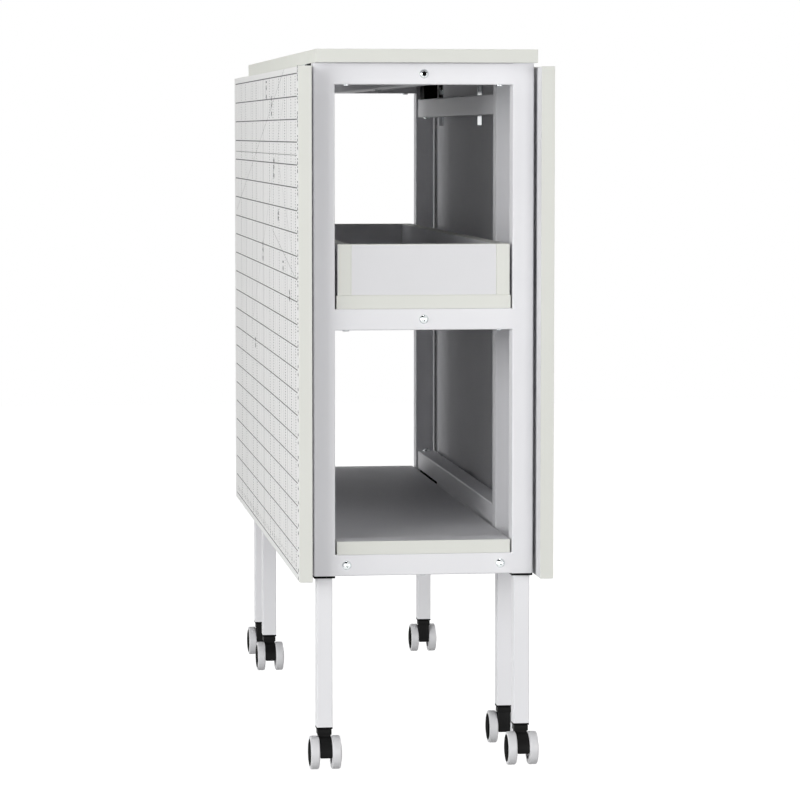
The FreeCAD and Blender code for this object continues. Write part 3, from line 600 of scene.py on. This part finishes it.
def tyre(side):
    """One wheel: a round-shouldered tyre with a deep recess for the hub cap and a shallow one inside."""
    width = 10.2 * MM
    inner, outer = side * TYRE_INNER, side * (TYRE_INNER + width)
    wheel = rod("tyre", (inner, -TRAIL, WHEEL), (side, 0, 0), WHEEL, width, 64)
    soften(wheel, 1.9 * MM, 5, lambda ends: abs(ends[0].x - ends[1].x) < NEAR)
    pick(wheel, lambda face: abs(face.center.x - outer) < NEAR)
    bpy.ops.mesh.inset(thickness=1.4 * MM)
    bpy.ops.mesh.extrude_region_move(TRANSFORM_OT_translate={"value": (-side * 1.4 * MM, 0, 0)})
    bpy.ops.object.mode_set(mode="OBJECT")
    pick(wheel, lambda face: abs(face.center.x - inner) < NEAR)
    bpy.ops.mesh.inset(thickness=4 * MM)
    bpy.ops.mesh.extrude_region_move(TRANSFORM_OT_translate={"value": (side * 1.5 * MM, 0, 0)})
    bpy.ops.object.mode_set(mode="OBJECT")
    return paint(smooth(wheel), TYRE)


def hub_cap(side):
    """Black cap, slightly domed, in the recess of a wheel."""
    seat = TYRE_INNER + 8.7 * MM
    cap = rod("hub_cap", (side * seat, -TRAIL, WHEEL), (side, 0, 0), 15.6 * MM, 1.3 * MM, 64)
    top = seat + 1.3 * MM
    for inset, rise in ((0.6, 0.5), (3, 0.6), (4, 0.4), (4, 0.2)):
        pick(cap, lambda face: abs(face.center.x - side * top) < NEAR and face.area > 1e-5)
        bpy.ops.mesh.inset(thickness=inset * MM)
        bpy.ops.transform.translate(value=(side * rise * MM, 0, 0))
        bpy.ops.object.mode_set(mode="OBJECT")
        top += rise * MM
    return paint(smooth(cap), ACETAL)


def caster_wheels():
    axle = rod("axle", (-15.6 * MM, -TRAIL, WHEEL), (1, 0, 0), 2.5 * MM, 31.2 * MM, 24)
    soften(axle, 0.5 * MM, 2, lambda ends: abs(ends[0].x - ends[1].x) < NEAR)
    pieces = [tyre(-1), tyre(1), hub_cap(-1), hub_cap(1), paint(smooth(axle), ZINC)]
    return join("caster_wheels", pieces)


def caster_housing():
    """Housing between the wheels: a rounded web cut flat below, a square neck and the swivel stem."""
    half = 6.9 * MM
    flat = 14.6 * MM
    web = rod("web", (-half, -TRAIL, WHEEL), (1, 0, 0), 17.6 * MM, 2 * half, 72)
    pick(web, lambda face: True)
    bpy.ops.mesh.bisect(plane_co=(0, 0, flat), plane_no=(0, 0, 1), use_fill=True, clear_inner=True)
    bpy.ops.object.mode_set(mode="OBJECT")
    soften(web, 1.6 * MM, 4, lambda ends: abs(ends[0].x - ends[1].x) < NEAR
           or max(end.z for end in ends) < flat + NEAR)
    column = soften(block("column", (-half, -8 * MM, WHEEL), (half, 8 * MM, 39 * MM)), 1 * MM)
    neck = soften(block("neck", (-8 * MM, -8 * MM, 38.1 * MM), (8 * MM, 8 * MM, 44.7 * MM)), 0.8 * MM)
    stem = rod("stem", (0, 0, 44 * MM), (0, 0, 1), 4 * MM, 25.7 * MM, 32)
    soften(stem, 0.8 * MM, 3, lambda ends: min(end.z for end in ends) > 69 * MM)
    paint(smooth(stem), ZINC)
    for piece in (web, column, neck):
        paint(smooth(piece), POLYPROPYLENE)
    return join("caster_housing", [web, column, neck, stem])


def plug_rim():
    """Lip of the leg plug, flush round the foot of the leg."""
    half = 9.06 * MM
    lip = block("plug_rim", (-half, -half, 46.3 * MM), (half, half, 47.1 * MM))
    soften(lip, 1.2 * MM, 4, lambda ends: abs(ends[0].z - ends[1].z) > 0.1 * MM)
    return paint(smooth(lip), NYLON)


wheels = caster_wheels()
housing = caster_housing()
rim = plug_rim()
# Each leg with its place and the way its caster trails
LEGS = (("front_left", -POST_X, -POST_Y, 1), ("front_right", POST_X, -POST_Y, 1),
        ("rear_left", -POST_X, POST_Y, -1), ("rear_right", POST_X, POST_Y, -1),
        ("gate_left", -POST_X, UPRIGHT_Y, 1), ("gate_right", POST_X, -UPRIGHT_Y, -1))
for leg, x, y, trail in LEGS:
    turn = Matrix.Translation((x * MM, y * MM, 0)) @ Matrix.Rotation(0 if trail > 0 else math.pi, 4, "Z")
    carry(copy(wheels, f"wheels_{leg}", turn), f"{leg}_wheels", "grey_tyre", f"caster_{leg}_wheels")
    carry(copy(housing, f"housing_{leg}", turn), f"{leg}_caster", "black_plastic", f"caster_{leg}_housing")
    carry(copy(rim, f"plug_rim_{leg}", turn), f"{leg}_leg", "black_plastic")
discard(wheels, housing, rim)

# CAD nodes that stay get their finish by what they are made of
FINISHES = ((NYLON, ("_collar", "beam_inserts", "pivot_blocks", "plug_")),
            (POWDER_COAT, ("post_", "end_rails", "_beam", "_upright", "_arms", "leg_")),
            (NICKEL, ("hinge_plates",)), (ZINC, ("hinge_pins",)))
for name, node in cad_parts.items():
    for material, parts in FINISHES:
        if any(part in name for part in parts):
            for place in node.material_slots:
                place.material = material
            break

# Stage: a pale floor that keeps a faint shadow and fades into a white room.
# It lies low enough to stay clear of the casters when the legs are pulled out by 100 mm.
FLOOR_DROP = 102 * MM


def room_rays(tree):
    """1 for what the camera, a mirror or glass sees, 0 for light that falls on the object."""
    path = add(tree, "ShaderNodeLightPath")
    seen = path.outputs["Is Camera Ray"]
    for ray in ("Is Glossy Ray", "Is Transmission Ray"):
        seen = add(tree, "ShaderNodeMath", {0: seen, 1: path.outputs[ray]}, operation="MAXIMUM").outputs[0]
    return seen


start_fresh()
bpy.ops.mesh.primitive_plane_add(size=12, location=(0, 0, -FLOOR_DROP))
floor = settle("floor")
material, tree, place = new_material("pale_floor")
distance = add(tree, "ShaderNodeVectorMath", {0: place}, operation="LENGTH").outputs["Value"]
# A little darker under the table, white from 1.4 m away
fade = add(tree, "ShaderNodeMapRange", {0: distance, 1: 0.5, 2: 1.4, 3: 0.94, 4: 1.0})
strength = add(tree, "ShaderNodeMath", {0: room_rays(tree), 1: fade.outputs[0]}, operation="MULTIPLY")
glow = add(tree, "ShaderNodeEmission", {"Color": colour("#ffffff"), "Strength": strength.outputs[0]})
matt = add(tree, "ShaderNodeBsdfDiffuse", {"Color": colour("#8a8a8a")})
both = add(tree, "ShaderNodeAddShader", {0: glow.outputs[0], 1: matt.outputs[0]})
add(tree, "ShaderNodeOutputMaterial", {"Surface": both.outputs[0]})
paint(floor, material)

world = bpy.data.worlds.new("studio")
world.use_nodes = True
bpy.context.scene.world = world
tree = world.node_tree
tree.nodes.clear()
# Bright metal mirrors white walls and, up on the left, the dark ceiling above the lamps
seen_by = add(tree, "ShaderNodeLightPath")
heading = add(tree, "ShaderNodeTexCoord").outputs["Generated"]
upward = add(tree, "ShaderNodeVectorMath", {0: heading, 1: (-0.4, -0.1, 0.91)}, operation="DOT_PRODUCT")
ceiling = add(tree, "ShaderNodeMapRange", {0: upward.outputs["Value"], 1: 0.74, 2: 0.79, 3: 1.0, 4: 0.02})
walls = add(tree, "ShaderNodeMix", {0: seen_by.outputs["Is Camera Ray"], 2: ceiling.outputs[0], 3: 1.0},
            data_type="FLOAT")
strength = add(tree, "ShaderNodeMath", {0: room_rays(tree), 1: walls.outputs[0]}, operation="MULTIPLY")
white = add(tree, "ShaderNodeBackground", {"Color": colour("#ffffff"), "Strength": strength.outputs[0]})
add(tree, "ShaderNodeOutputWorld", {"Surface": white.outputs[0]})


# Soft studio lamps in a ring about the table, with few behind so that the inside stays dim, and one above
def lamp(name, size, watts, place, target):
    light = bpy.data.lights.new(name, "AREA")
    light.shape = "RECTANGLE"
    light.size, light.size_y = size
    light.energy = watts
    thing = aim(name, light, place, (0, 0, 0))
    thing.rotation_euler = (Vector(target) - Vector(place)).to_track_quat("-Z", "Y").to_euler()


# Each lamp of the ring with its angle from the front, the height of its middle, how tall it is, and its watts
LAMPS = (("left", -65, 0.5, 1.6, 63), ("front_left_low", -45, 0.5, 1.6, 54),
         ("front_left_high", -45, 1.8, 1.6, 26), ("front_high", -30, 1.8, 1.6, 22),
         ("front_right_near", 20, 0.5, 1.6, 66), ("front_right", 45, 0.5, 1.6, 40),
         ("right", 112, 1.0, 1.0, 50), ("rear_right", 128, 0.5, 0.4, 85),
         ("rear_left", -120, 0.6, 1.6, 42))
RING = 4.5
LAMP_WIDTH = 1.6
TABLE_MIDDLE = 0.5
for name, azimuth, height, tall, watts in LAMPS:
    turn = math.radians(azimuth)
    place = (RING * math.sin(turn), -RING * math.cos(turn), height)
    lamp(name, (LAMP_WIDTH, tall), watts, place, (0, 0, min(height, TABLE_MIDDLE)))
lamp("above", (0.3, 2.0), 36, (0, 0, 3.2), (0, 0, TABLE_MIDDLE))
